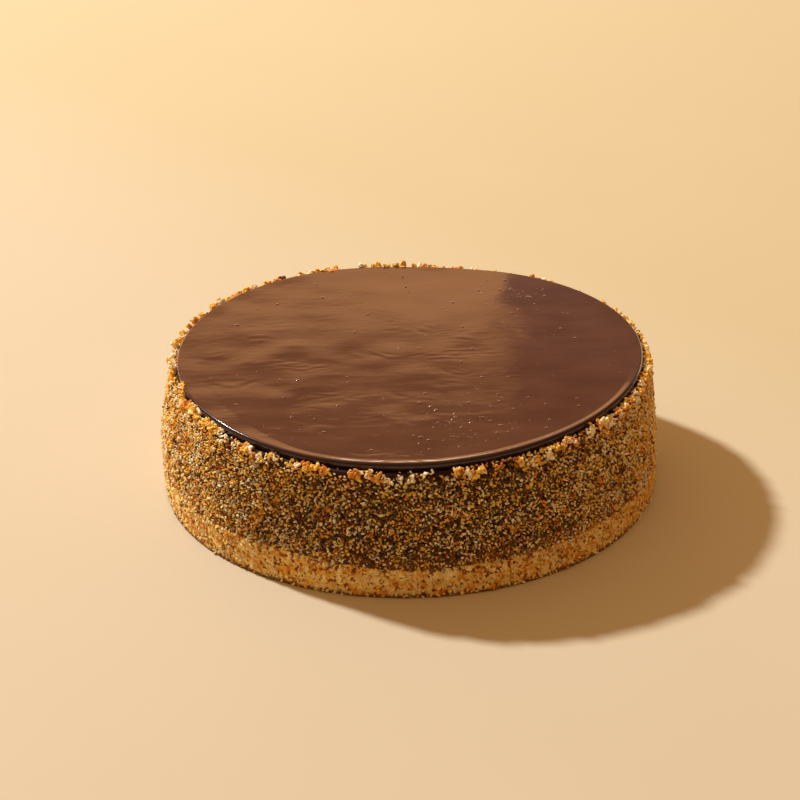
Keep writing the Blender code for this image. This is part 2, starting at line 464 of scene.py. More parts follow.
# %% Sizes of the glaze's top
GLAZE_COLUMNS = 480
GLAZE_ROWS = 92
LIP_ROWS = 26
POURED_RADIUS = GLAZE_RADIUS + 0.5 * MM
LIP_MARKS = (  # degrees round the cake, height in mm, width in mm
    (-170, 0.08, 9.0), (-155, 0.25, 9.0), (-138, 0.32, 8.0), (-119, 0.40, 3.0), (-106, 0.46, 2.5),
    (-90, 0.44, 2.7), (-62, 0.44, 2.7), (-40, 0.45, 2.1), (-26, 0.42, 2.0), (-18, 0.25, 2.6),
    (-8, 0.14, 4.0), (12, 0.11, 5.0), (36, 0.08, 4.5), (55, 0.0, 4.0), (100, 0.0, 4.0),
    (128, 0.12, 6.0), (160, 0.08, 6.0),
)
LIP_HIGHEST = 0.50 * MM
LIP_REACH = 9 * MM
LIP_KNEE = 0.2  # the lip's slope is nearly even beyond this share of its width
CREST_INSET = 1.2 * MM  # from the glaze's edge to the lip's crest
TIGHT_RADIUS = 0.5 * MM
WIDE_RADIUS = 2.2 * MM
TURN_OVER = 40  # degrees above level where the tight arc meets the wide one
STREAK_HEIGHT = 0.16 * MM
STREAK_SIZES = (16 * MM, 14 * MM, 1.0)
WISP_HEIGHT = 0.055 * MM
WISP_SIZES = (5.5 * MM, 2.0 * MM, 1.0)
WISP_PATCHES = (24 * MM, 11 * MM, 1.0)
PATCH_EDGE = (-0.1, 0.35)  # noise below the first leaves no wisps, above the second all of them
SWELL_HEIGHT = 0.14 * MM
SWELL_SIZES = (60 * MM, 45 * MM, 1.0)
SWAY_HEIGHT = 0.025 * MM
SWAY_SIZES = (20 * MM, 26 * MM, 1.0)
WARP = 5 * MM  # how far the wisps are bent aside, over the next size
WARP_SIZES = (15 * MM, 15 * MM, 1.0)
SIDE_CALM = 0.7  # how much fainter streaks and wisps are on the right, beyond these X
CALM_SIDE = (8 * MM, 44 * MM)
BACK_CALM = 0.75  # and how much fainter the wisps are at the back, beyond these Y
CALM_BACK = (10 * MM, 36 * MM)
LEVEL_DROP = 0.15 * MM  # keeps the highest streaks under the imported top
WAVER = 1.3 * MM  # how far a spatula mark strays from straight, over the next size
WAVER_SIZES = (9 * MM, 9 * MM, 1.0)
SPATULA_MARKS = (  # X, Y, half length, degrees of turn, height, width of the near side, in mm
    (-48, 3, 9, 1, 0.075, 3.0), (-47, 9, 7, -4, 0.045, 1.8), (-33, -4, 9, -17, 0.06, 2.2),
    (-64, -19, 8, -14, 0.05, 2.0), (-49, -24, 8, 0, 0.045, 2.0), (-45, -29, 6, 17, 0.04, 1.6),
    (-34, -19, 10, 8, 0.055, 2.5), (-50, -38, 6, 0, 0.06, 2.6), (-77, 1, 5, 5, 0.04, 1.8),
    (-20, -19, 9, -8, 0.045, 2.0), (10, -20, 4, 0, 0.04, 1.6), (5, -29, 5, 8, 0.05, 2.0),
    (12, -32, 5, -35, 0.05, 2.0), (20, -30, 6, 0, 0.05, 1.4), (-9, -40, 7, 5, 0.06, 2.8),
    (22, -52, 17, 1, -0.07, 1.5), (-66, -50, 18, -15, 0.20, 7.0), (-8, -64, 30, -1, 0.20, 4.0),
)
FAR_SIDE = 2.3  # how much gentler a mark is on its far side

print(len(LIP_MARKS), "marks of the lip,", len(SPATULA_MARKS), "of the spatula")


# %% Relief of the glaze
def lip(angle):
    """Height and width of the lip round the cake."""
    marks = np.array(LIP_MARKS)
    degrees = np.degrees(angle)
    rows = [np.interp(degrees, marks[:, 0], marks[:, i], period=360) * MM for i in (1, 2)]
    return rows[0], rows[1]


def spatula_relief(points):
    """Short strokes of the spatula, each steep on the near side and gentle on the far one."""
    waver = WAVER * soft_noise(points, WAVER_SIZES, 11)
    relief = np.zeros(len(points))
    for x, y, half, turn, height, width in SPATULA_MARKS:
        aside, away = points[:, 0] - x * MM, points[:, 1] - y * MM
        cos, sin = math.cos(math.radians(turn)), math.sin(math.radians(turn))
        along = (aside * cos + away * sin) / (half * MM)
        across = away * cos - aside * sin + waver
        across /= np.where(across < 0, width * MM, FAR_SIDE * width * MM)
        relief += height * MM * np.maximum(1 - along**2, 0) * np.exp(-(across**2))
    return relief


def glaze_relief(points):
    """How far the spatula left the glaze above or below level."""
    lively = 1 - SIDE_CALM * smooth_step(points[:, 0], *CALM_SIDE)
    patches = smooth_step(soft_noise(points, WISP_PATCHES, 12), *PATCH_EDGE)
    patches *= 1 - BACK_CALM * smooth_step(points[:, 1], *CALM_BACK)
    streaks = STREAK_HEIGHT * soft_noise(points, STREAK_SIZES, 3)
    bent = points + np.outer(WARP * soft_noise(points, WARP_SIZES, 13), (0, 1, 0))
    wisps = WISP_HEIGHT * patches * soft_noise(bent, WISP_SIZES, 8)
    swell = SWELL_HEIGHT * soft_noise(points, SWELL_SIZES, 5)
    swell += SWAY_HEIGHT * soft_noise(points, SWAY_SIZES, 9)
    return lively * (streaks + wisps) + spatula_relief(points) + swell - LEVEL_DROP


def glaze_level(radius, angle, points):
    """Height of the glaze's top without its lip."""
    sink = smooth_step(radius, SINK_FROM, EDGE_RADIUS) * sunk(angle)
    return TOP - LIP_HIGHEST - sink + glaze_relief(points)


print("relief at the middle:", glaze_relief(np.zeros((1, 3)))[0] / MM, "mm")


# %% Profile and shape of the glaze
def glaze_profile():
    level = TOP - LIP_HIGHEST
    crest = POURED_RADIUS - CREST_INSET
    inner = [(float(r), level) for r in np.linspace(0, crest - LIP_REACH, GLAZE_ROWS)]
    lip_rows = [(float(r), level) for r in np.linspace(crest - LIP_REACH, crest, LIP_ROWS)[1:]]
    wide_centre = (POURED_RADIUS - WIDE_RADIUS, TOP - TIGHT_RADIUS - shoulder_shift(math.sin))
    tight_centre = (wide_centre[0] + shoulder_shift(math.cos), TOP - TIGHT_RADIUS)
    tight = round_corner(tight_centre, TIGHT_RADIUS, 84, TURN_OVER, steps=8)
    wide = round_corner(wide_centre, WIDE_RADIUS, TURN_OVER, 0, steps=7)[1:]
    under = [(POURED_RADIUS, GLAZE_UNDER + 0.4 * MM), (POURED_RADIUS - 0.4 * MM, GLAZE_UNDER)]
    return inner + lip_rows + tight + wide + under + flat_rows(GLAZE_UNDER, outward=False)


def shoulder_shift(ratio):
    """How far the wide arc's centre lies from the tight one's, along one axis."""
    return (WIDE_RADIUS - TIGHT_RADIUS) * ratio(math.radians(TURN_OVER))


def glaze_shape(radius, angle, height):
    points = settled(radius, angle, height)
    level = TOP - LIP_HIGHEST
    crest = POURED_RADIUS - CREST_INSET
    rise, width = lip(angle)
    on_flat = (np.abs(height - level) < 1e-6) & (radius <= crest)
    share = np.clip((radius - crest) / width + 1, 0, 1)
    climb = (1 + LIP_KNEE) * share**2 / (share + LIP_KNEE)
    on_shoulder = (height > TOP - WIDE_RADIUS) & ~on_flat
    fade = on_shoulder * np.clip((height - (TOP - WIDE_RADIUS)) / WIDE_RADIUS, 0, 1)
    shoulder = points[:, 2] + fade * (rise - LIP_HIGHEST + glaze_relief(points))
    points[:, 2] = np.where(on_flat, glaze_level(radius, angle, points) + rise * climb, shoulder)
    return points


print(len(glaze_profile()), "rows from the middle of the top to the middle underneath")

# %% [markdown]
# ### Finish of the glaze
#
# Set chocolate glaze is a dark brown body under a mirror. A Principled shader with low roughness does it
# alone, without a coat. The roughness wanders in long faint bands where the spatula dragged, and a fine
# stretched bump keeps the reflections from being ruler sharp. Over the rounded shoulder a darker, purplish
# colour is painted in: painted shade with a painted reflection. The roughness rises there too, so the mesh
# carries a number for that on its points.

# %% Make the glaze
CHOCOLATE = (0.078, 0.0265, 0.0135)
CHOCOLATE_LIGHT = (0.098, 0.036, 0.019)
# Painted shade: a darker, purplish brown for the rounded shoulder, standing in for its shade and reflection.
CHOCOLATE_SHOULDER_SHADE = (0.031, 0.0098, 0.0080)


def glaze_pattern(tree):
    cloud = stepped(tree, grain(tree, 14 * MM, detail=4.0, stretch=(0.6, 1.3, 1)), 0.34, 0.66)
    drag = grain(tree, 6 * MM, detail=3.0, stretch=(0.22, 1.2, 1))
    ripple = grain(tree, 2.4 * MM, detail=3.0, stretch=(0.35, 1, 1))
    # The shoulder's mask: painted shade in the colour, and more roughness.
    shaded_shoulder = Wire.make(tree, "ShaderNodeAttribute", {"attribute_name": "shaded_shoulder"}, output="Fac")
    bump = Wire.make(tree, "ShaderNodeBump", (), {"Height": ripple, "Strength": 0.6, "Distance": 0.05 * MM})
    return {
        "Base Color": mixed(tree, shaded_shoulder, mixed(tree, cloud, CHOCOLATE, CHOCOLATE_LIGHT), CHOCOLATE_SHOULDER_SHADE),
        "Roughness": 0.03 + 0.06 * drag + 0.16 * shaded_shoulder,
        "Normal": bump,
    }


def note_on_points(piece, name, values):
    """Stores one number for each point of a piece, for its finish to read."""
    attribute = piece.data.attributes.new(name, "FLOAT", "POINT")
    attribute.data.foreach_set("value", np.asarray(values, dtype=np.float32))


glaze_finish = finish("mirror_chocolate", {"Roughness": 0.1, "IOR": 1.5}, glaze_pattern)
glaze_rows = glaze_profile()
glaze = turned_piece("glaze", glaze_rows, GLAZE_COLUMNS, glaze_shape, glaze_finish)
row_radius = np.array([row[0] for row in glaze_rows])
# 1 over the rounded shoulder, where shade is painted into the colour.
row_shaded_shoulder = smooth_step(row_radius, POURED_RADIUS - CREST_INSET, POURED_RADIUS - 0.4 * MM)
note_on_points(glaze, "shaded_shoulder", np.concatenate([np.repeat(row_shaded_shoulder[1:-1], GLAZE_COLUMNS), [0, 0]]))
dress(glaze, "chocolate_glaze")

# %% [markdown]
# ### Bubbles in the glaze
#
# Bubbles rose while the glaze set and left low domes a millimetre or so wide, each with a pinprick of
# light. A bump map would lose them from the exported mesh, so they are tiny shallow caps.

# %% Make the bubbles
BUBBLES = 150
SWARMS = ((20, -58, 13, 70), (43, 62, 8, 40))  # X, Y and spread in mm, and how many more lie close together
BUBBLE_SIDES = 12
BUBBLE_RINGS = 4
BUBBLE_RISE = 0.3  # height for each unit of radius
BUBBLE_SIZE = (0.34, 0.6)  # least radius and how much more, in mm
BUBBLE_FIELD = 86 * MM
SWARM_FIELD = 84 * MM
BUBBLE_SEAT = 0.02 * MM  # how deep its edge lies in the glaze
BUBBLE_ROOT = 0.03 * MM  # and how much deeper the point lies that closes it below
rng = np.random.default_rng(7)


def bubble_caps():
    """Points and faces of shallow domes strewn over the top."""
    radius = BUBBLE_FIELD * np.sqrt(rng.uniform(0.001, 1, BUBBLES))
    angle = rng.uniform(0, math.tau, BUBBLES)
    swarm = np.concatenate([rng.normal((x, y), spread, (many, 2)) for x, y, spread, many in SWARMS]) * MM
    radius = np.concatenate([radius, np.minimum(np.hypot(*swarm.T), SWARM_FIELD)])
    angle = np.concatenate([angle, np.arctan2(swarm[:, 1], swarm[:, 0])])
    count = BUBBLES + len(swarm)
    size = MM * (BUBBLE_SIZE[0] + BUBBLE_SIZE[1] * rng.uniform(0, 1, count) ** 2.5)
    flat = settled(radius, angle, np.full(count, TOP - LIP_HIGHEST))
    base = glaze_level(radius, angle, flat)
    turn = np.arange(BUBBLE_SIDES)[::-1] * math.tau / BUBBLE_SIDES
    lift = np.radians(90 * np.arange(BUBBLE_RINGS - 1, -1, -1) / BUBBLE_RINGS)[:, None]
    rings = np.stack([np.cos(lift) * np.cos(turn), np.cos(lift) * np.sin(turn), np.sin(lift) + 0 * turn])
    cap = np.concatenate([rings.reshape(3, -1).T, [(0, 0, 1), (0, 0, 0)]]) * (1, 1, BUBBLE_RISE)
    middle = np.column_stack([flat[:, :2], base - BUBBLE_SEAT])
    points = size[:, None, None] * cap + middle[:, None, :]
    points[:, -1, 2] -= BUBBLE_ROOT
    # the rings run clockwise here, so each face is listed backwards to look outwards
    faces = ring_faces(BUBBLE_RINGS, BUBBLE_SIDES)[:, ::-1] + (np.arange(count) * len(cap))[:, None, None]
    return points.reshape(-1, 3), faces.reshape(-1, 3)


bubbles = new_piece("glaze_bubbles", *bubble_caps(), glaze_finish, smooth=True)
dress(bubbles, "chocolate_glaze")

# %% [markdown]
# ## The cores under the crumbs
#
# Between the crumbs one sees what they stick to: dark chocolate on the side and pale sponge at the foot. The
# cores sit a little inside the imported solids, so that the crumbs standing on them end where the solids do. A
# smooth wall would show as a band between the crumbs, so each core's own wall is rough too.

# %% Profiles of the chocolate side and the foot
CORE_INSET = 0.8 * MM
CORE_COLUMNS = 820
CORE_ROWS = 52
CORE_ROUGH = 0.3 * MM
CORE_JOG = 0.3 * MM
FOOT_JOG = 0.17 * MM
FOOT_COLUMNS = 720
FOOT_ROUGH = 0.75 * MM
TRAY_WALL = POURED_RADIUS + GAP
CREST_WIDTH = 1.6 * MM
FOOT_INSET = 0.6 * MM
# Painted shade: the crumbs, and the crumb dust between them, go dark on the front and front right, away from
# the lamp.
PAINTED_SHADE_SIDES = ((-92, 42, 0.44), (-30, 30, 0.08))  # degrees of the middle and half width, share
# The chocolate between the crumbs: its own dark colour, painted darker still as the shade in the gaps.
COAT_DARK = (0.010, 0.0036, 0.0020)
COAT_BROWN = (0.034, 0.0125, 0.0058)
COAT_BARE = (48.3 * MM, 49.8 * MM)  # the chocolate carries no crumb dust above these heights
COAT_LOW = (15 * MM, 22 * MM)  # and more of it below these


def side_profile():
    under = FOOT_HEIGHT + GAP / 2
    tray = GLAZE_UNDER - GAP
    inside = flat_rows(tray, outward=True) + [(TRAY_WALL, tray), (TRAY_WALL, CREST_HEIGHT - CORE_INSET)]
    crest = [(TRAY_WALL + 0.8 * MM, CREST_HEIGHT - 0.6 * MM), (TRAY_WALL + 1.6 * MM, CREST_HEIGHT - 0.9 * MM)]
    heights = np.linspace(CREST_HEIGHT - CREST_WIDTH, under, CORE_ROWS)
    wall = [(float(wall_radius(h)) - CORE_INSET, h) for h in heights]
    return inside + crest + wall + flat_rows(under, outward=False)


def foot_profile():
    top = FOOT_HEIGHT - GAP / 2
    heights = np.linspace(top, 0.0, 22)
    wall = [(float(wall_radius(h)) + FOOT_PROUD - FOOT_INSET, h) for h in heights]
    return flat_rows(top, outward=True) + wall + flat_rows(0.0, outward=False)


print(len(side_profile()), "rows for the side,", len(foot_profile()), "for the foot")


# %% Roughness and finish of the cores
def rough_core(low, high, rough, jog):
    """A shape for turned_piece whose wall between two heights has lumps and a grain as high as this."""

    def shape(radius, angle, height):
        points = settled(radius, angle, height)
        on_wall = (radius > EDGE_RADIUS + 3.5 * MM) & (height > low + MM / 10) & (height < high)
        lumps = soft_noise(points, (4 * MM, 4 * MM, 4 * MM), 2)
        lumps += 0.6 * soft_noise(points, (1.5 * MM, 1.5 * MM, 1.5 * MM), 4)
        push = on_wall * (rough * lumps + jog * rng.uniform(-1, 1, len(points)))
        points[:, 0] += push * np.cos(angle)
        points[:, 1] += push * np.sin(angle)
        return points

    return shape


def painted_shade(angle):
    """How much painted shade the crumbs take round the cake: most on the front, which lies away from the lamp.
    """
    return sum(share * near(angle, middle, width) for middle, width, share in PAINTED_SHADE_SIDES)


def side_pattern(tree):
    shade_share = Wire.make(tree, "ShaderNodeAttribute", {"attribute_name": "painted_shade"}, output="Fac")
    cloud = grain(tree, 5 * MM, detail=3.0)
    dust = stepped(tree, grain(tree, 0.9 * MM, detail=3.0), 0.44, 0.56)
    tone = stepped(tree, grain(tree, 2.4 * MM, detail=2.0), 0.4, 0.6)
    # chocolate colour with painted shade of the gaps between crumbs
    shaded_chocolate = mixed(tree, cloud, COAT_DARK, COAT_BROWN)
    below = 1 - stepped(tree, position(tree, "Z"), *COAT_BARE)
    low = 1 - stepped(tree, position(tree, "Z") + 6 * MM * cloud, *COAT_LOW)
    crumb = mixed(tree, tone, linear(142, 90, 44), linear(204, 156, 92))
    crumb = mixed(tree, 0.8 * low, crumb, linear(190, 104, 40))
    # painted shade: less crumb dust on the shaded front lets the dark chocolate show more there
    share = (0.42 - 0.38 * shade_share) * dust * below + (0.45 - 0.4 * shade_share) * low
    return {"Base Color": mixed(tree, share, shaded_chocolate, crumb), "Roughness": 0.5 + 0.3 * cloud}


def sponge_pattern(tree):
    cloud = stepped(tree, grain(tree, 5 * MM, detail=3.0, stretch=(1, 1, 1.4)), 0.39, 0.55)
    thread = stepped(tree, grain(tree, 1.7 * MM, detail=3.0, stretch=(1, 1, 0.7)), 0.4, 0.62)
    # Painted shade in the sponge's pores: reddish-brown specks.
    pore_shade = stepped(tree, grain(tree, 1.7 * MM, detail=3.0), 0.39, 0.48)
    # Darker towards the floor over the lowest few millimetres.
    near_floor = 1 - stepped(tree, position(tree, "Z") + 1.8 * MM * grain(tree, 3 * MM), 1.7 * MM, 3.0 * MM)
    pale = mixed(tree, thread, linear(238, 202, 114), linear(254, 236, 166))
    golden = mixed(tree, thread, linear(212, 134, 34), linear(242, 186, 78))
    crumb = mixed(tree, pore_shade, linear(142, 74, 28), mixed(tree, cloud, golden, pale))
    return {"Base Color": mixed(tree, 0.85 * near_floor, crumb, linear(104, 56, 24))}


print("soaked in front:", round(float(painted_shade(math.radians(-90))), 2))

# %% Make the chocolate side and the foot
side_shape = rough_core(FOOT_HEIGHT, CREST_HEIGHT - CREST_WIDTH, CORE_ROUGH, CORE_JOG)
side_finish = finish("chocolate_coat", {"IOR": 1.5, "Specular IOR Level": 0.1}, side_pattern)
side = turned_piece("chocolate_side", side_profile(), CORE_COLUMNS, side_shape, side_finish, smooth=False)
# The side's points carry how much painted shade falls on them round the cake.
side_angle = np.arange(len(side.data.vertices) - 2) % CORE_COLUMNS * math.tau / CORE_COLUMNS
note_on_points(side, "painted_shade", np.concatenate([painted_shade(side_angle), [0, 0]]))
dress(side, "cake_body")
foot_shape = rough_core(0.0, FOOT_HEIGHT - GAP, FOOT_ROUGH, FOOT_JOG)
foot_finish = finish("pale_sponge", {"Roughness": 0.9, "Specular IOR Level": 0.2}, sponge_pattern)
foot = turned_piece("foot_sponge", foot_profile(), FOOT_COLUMNS, foot_shape, foot_finish, smooth=False)
dress(foot, "foot_layer")

# %% [markdown]
# ## One crumb
#
# A crumb of sponge is a torn cluster of little lobes, never a ball or a cube. Modelling each by hand is out
# of the question, and a scatter of one shape looks stamped. So a few dozen crumbs are grown by a rule: a few
# overlapping balls round a middle, seen from that middle as a radius in each direction, and then jogged.

# %% Grow crumb shapes
SHAPES = 40
LOBES = (3, 6)
LEAST_RADIUS = 0.36
LOBE_AWAY = (0.34, 0.68)  # of a lobe's middle, where the crumb's radius is about 1
LOBE_SIZE = (0.34, 0.6)
SQUASH = 0.3


def unit(vectors):
    return vectors / np.linalg.norm(vectors, axis=-1, keepdims=True)


def ball_directions(faces_wanted):
    """Directions and faces of a coarse ball, with 8, 20, 36 or 80 triangles."""
    ball = bmesh.new()
    if faces_wanted in (8, 36):
        segments, rings = (4, 2) if faces_wanted == 8 else (6, 4)
        bmesh.ops.create_uvsphere(ball, u_segments=segments, v_segments=rings, radius=1.0)
        bmesh.ops.triangulate(ball, faces=ball.faces)
    else:
        bmesh.ops.create_icosphere(ball, subdivisions=1 if faces_wanted == 20 else 2, radius=1.0)
    points = np.array([v.co[:] for v in ball.verts])
    faces = np.array([[v.index for v in f.verts] for f in ball.faces])
    ball.free()
    return unit(points), faces


def grown_crumbs(directions, jog):
    """SHAPES crumbs of mean radius 1, as an array of points."""
    shapes = []
    for _ in range(SHAPES):
        radius = np.full(len(directions), LEAST_RADIUS)
        for _ in range(rng.integers(*LOBES)):
            middle = rng.normal(size=3)
            middle *= rng.uniform(*LOBE_AWAY) / np.linalg.norm(middle)
            size = rng.uniform(*LOBE_SIZE)
            along = directions @ middle
            inside = size**2 - middle @ middle + along**2
            radius = np.maximum(radius, np.where(inside > 0, along + np.sqrt(np.maximum(inside, 0)), 0))
        radius *= rng.uniform(1 - jog, 1 + jog, len(directions))
        squash = np.exp(rng.normal(0, SQUASH, 3))
        points = directions * radius[:, None] * squash
        shapes.append(points / np.linalg.norm(points, axis=1).mean())
    return np.array(shapes)


fine_ball = ball_directions(80)
coarse_ball = ball_directions(36)
small_ball = ball_directions(20)
grit_ball = ball_directions(8)
fine_shapes = grown_crumbs(fine_ball[0], 0.16)
coarse_shapes = grown_crumbs(coarse_ball[0], 0.2)
small_shapes = grown_crumbs(small_ball[0], 0.28)
grit_shapes = grown_crumbs(grit_ball[0], 0.3)
balls = (fine_ball, coarse_ball, small_ball, grit_ball)
print(f"{SHAPES} crumb shapes each of", [len(ball[1]) for ball in balls], "faces")

# %% [markdown]
# ## Where the crumbs lie
#
# The baker pressed handfuls of crumbs against wet chocolate, so they touch without stacking deeply: big ones
# here and there, small ones filling between, chocolate in what gaps are left. That is dart throwing:
# offer a place at random, and keep it only where no crumb lies yet, the largest first. The side is
# unrolled into a strip, with one axis round the cake and the other along its coat, from the floor up the
# wall and over the crest to the glaze.

# %% The coat's path, unrolled
WALL_STEPS = 40


def coat_path():
    heights = np.linspace(0.0, CREST_HEIGHT - CREST_WIDTH, WALL_STEPS)
    proud = FOOT_PROUD * (1 - smooth_step(heights, FOOT_HEIGHT - MM, FOOT_HEIGHT + MM))
    wall = np.stack([wall_radius(heights) + proud - CORE_INSET, heights], axis=1)
    crest = np.array([
        (TRAY_WALL + 2.0 * MM, CREST_HEIGHT - 0.75 * MM),
        (TRAY_WALL + 1.0 * MM, CREST_HEIGHT - 0.6 * MM),
        (TRAY_WALL, CREST_HEIGHT - CORE_INSET),
        (TRAY_WALL - 0.6 * MM, TOP - 1.7 * MM),
        (TRAY_WALL - 1.8 * MM, TOP - 0.9 * MM),
    ])
    points = np.concatenate([wall, crest])
    steps = np.hypot(*np.diff(points, axis=0).T)
    return points, np.concatenate([[0.0], np.cumsum(steps)])


path_points, path_along = coat_path()
WALL_LENGTH = float(path_along[WALL_STEPS - 1])
COAT_LENGTH = float(path_along[WALL_STEPS + 2])
UNROLLED = math.tau * WIDEST_RADIUS


def on_coat(across, along, lift):
    """Points on the cake for places on the unrolled strip, each lifted off the coat by its own amount."""
    angle = across / WIDEST_RADIUS
    tilt = np.radians(80) * smooth_step(along, WALL_LENGTH - 1.2 * MM, COAT_LENGTH)
    radius = np.interp(along, path_along, path_points[:, 0]) + lift * np.cos(tilt)
    height = np.interp(along, path_along, path_points[:, 1]) + lift * np.sin(tilt)
    return settled(radius, angle, height)


print(f"coat {COAT_LENGTH / MM:.1f} mm from the floor to the glaze, {UNROLLED / MM:.0f} mm round")


# %% Throw the darts
FOOT_TOP = 12.6 * MM
CREEP_SIDE = (196, 27)  # degrees of the middle and half width
FRINGE = (2.4 * MM, 0.45)  # how far some crumbs reach over the foot's edge all round, and their share


class Strip:
    """The unrolled side, which remembers where crumbs lie."""

    CELL = 4.2 * MM

    def __init__(self):
        self.columns = int(UNROLLED / self.CELL)
        self.width = UNROLLED / self.columns
        self.cells = {}

    def is_free(self, across, along, size, overlap):
        column, row = int(across / self.width), int(along / self.CELL)
        for i in (column - 1, column, column + 1):
            for j in (row - 1, row, row + 1):
                for other_across, other_along, other_size in self.cells.get((i % self.columns, j), ()):
                    gap = abs(across - other_across)
                    gap = min(gap, UNROLLED - gap)
                    if math.hypot(gap, along - other_along) < (size + other_size) * overlap:
                        return False
        return True

    def put(self, across, along, size):
        cell = (int(across / self.width) % self.columns, int(along / self.CELL))
        self.cells.setdefault(cell, []).append((across, along, size))


def throw(strip, tries, low, high, sizes, overlap, creep):
    """Crumbs kept out of so many tries, as rows of (across, along, size), the largest first. Unless creep
    is 0, only a share up to creep is offered below the foot's top, where the coat creeps down."""
    across = rng.uniform(0, UNROLLED, tries)
    along = rng.uniform(low, high, tries)
    size = np.sort(rng.triangular(sizes[0], sizes[0] + 0.3 * (sizes[1] - sizes[0]), sizes[1], tries))[::-1]
    offered = (along > FOOT_TOP) | (creep == 0.0)
    fringe = FRINGE[1] * (along > FOOT_TOP - FRINGE[0])
    creeps = np.maximum(near(across / WIDEST_RADIUS, *CREEP_SIDE), fringe)
    offered |= rng.uniform(0, 1, tries) < creep * creeps
    kept = []
    for place in zip(across[offered], along[offered], size[offered]):
        if strip.is_free(*place, overlap):
            strip.put(*place)
            kept.append(place)
    return np.array(kept)


# %% [markdown]
# ### Clumps
#
# Wet crumbs stick to each other before they stick to the cake. So the biggest are thrown as clumps of three
# to eight that share a colour, along the rim and here and there below it. How high they pile against the
# glaze changes round the cake: they top it at the back and on the left, and stay under it in front.

# %% Sizes of the rim
RIM_CLUMPS = 330
SIDE_CLUMPS = 420
RIM_LOW = 0.15 * MM
RIM_PILES = ((118, 55, 2.6), (188, 30, 1.5), (-42, 20, 1.2), (-100, 30, 0.5))  # degrees, half width, mm high
RIM_SPILLS = ((194, 30, 3.2), (112, 50, 1.2), (-98, 26, 0.9))  # degrees, half width, mm onto the glaze
RIM_COARSE = (115, 58, 0.85)  # degrees of the middle and half width, and how much larger crumbs are there
RIM_GAPS = ((0.45, 38, 18), (0.6, 105, 45), (0.5, -86, 36))  # share of clumps left out, degrees, half width
RIM_DROOP = (-80, 45, 1.6)  # degrees, half width, mm that the clumps hang below the crest
BARE_FRONT = (-90, 42)  # where crumbs are left out: degrees of the middle, half width
PATCH = 4 * MM  # crumbs this near each other tend to one colour
PATCHES = 160  # enough of them to go round the cake
FOOT_SINK = 0.14  # crumbs are pressed deeper into the soft foot
strip = Strip()

print(RIM_CLUMPS, "clumps offered at the rim,", SIDE_CLUMPS, "below it")


# %% Clumps and pressed crumbs
def rim_pile(angle):
    """How high the crumbs pile above the crest."""
    return RIM_LOW + MM * sum(height * near(angle, middle, width) for middle, width, height in RIM_PILES)


def rim_spill(angle):
    """How far past the crest the crumbs lie on the glaze."""
    return MM * sum(reach * near(angle, middle, width) for middle, width, reach in RIM_SPILLS)


def clumps(count, low, high, spread, sizes):
    """Crumbs in clumps, as rows of (across, along, size, lift, rise, kin)."""
    rows = []
    for kin in rng.uniform(0, 1, count):
        across = rng.uniform(0, UNROLLED)
        angle = across / WIDEST_RADIUS
        by_rim = low > 0.8 * WALL_LENGTH
        if by_rim and rng.uniform() < sum(share * near(angle, *gap) for share, *gap in RIM_GAPS):
            continue
        highest = high + by_rim * rim_spill(angle)
        along = rng.uniform(low, highest)
        coarse = 1 + by_rim * RIM_COARSE[2] * near(angle, *RIM_COARSE[:2])
        pile = rim_pile(angle) if by_rim else 0
        droop = by_rim * RIM_DROOP[2] * MM * near(angle, *RIM_DROOP[:2])
        most = 9 - 4 * by_rim * near(angle, *RIM_COARSE[:2])
        for _ in range(rng.integers(3, round(most))):
            aside, upward = rng.normal(0, spread, 2)
            place = min(max(along + upward, low - MM), highest) - droop
            size = coarse * rng.uniform(*sizes)
            rise = pile * rng.uniform(0, 1) * (place < COAT_LENGTH)
            rows.append(((across + aside) % UNROLLED, place, size, 0.3 * size, rise, kin))
            strip.put((across + aside) % UNROLLED, place, size)
    return np.array(rows)


def pressed(places, sink, bare):
    """Adds lift, rise and kin to thrown places. A crumb is sunk by about this share, and in front so many
    are left out. Crumbs of one patch have the same kin."""
    angle = places[:, 0] / WIDEST_RADIUS
    patchy = 1.6 * soft_noise(places[:, [0, 1, 1]], (9 * MM, 6 * MM, 6 * MM), 6)
    keep = rng.uniform(0, 1, len(places)) > bare * near(angle, *BARE_FRONT) * (1 + patchy)
    places = places[keep]
    share = rng.uniform(sink - 0.15, sink + 0.15, len(places)) + FOOT_SINK * (places[:, 1] < FOOT_TOP)
    drift = PATCH * soft_noise(places[:, [0, 1, 1]], (PATCH, PATCH, PATCH), 14)
    cells = ((places[:, :2] + drift[:, None]) / PATCH).astype(int) % PATCHES
    kin = patch_kin[cells[:, 0], cells[:, 1]]
    return np.column_stack([places, places[:, 2] * (1 - 2 * share), np.zeros(len(places)), kin])


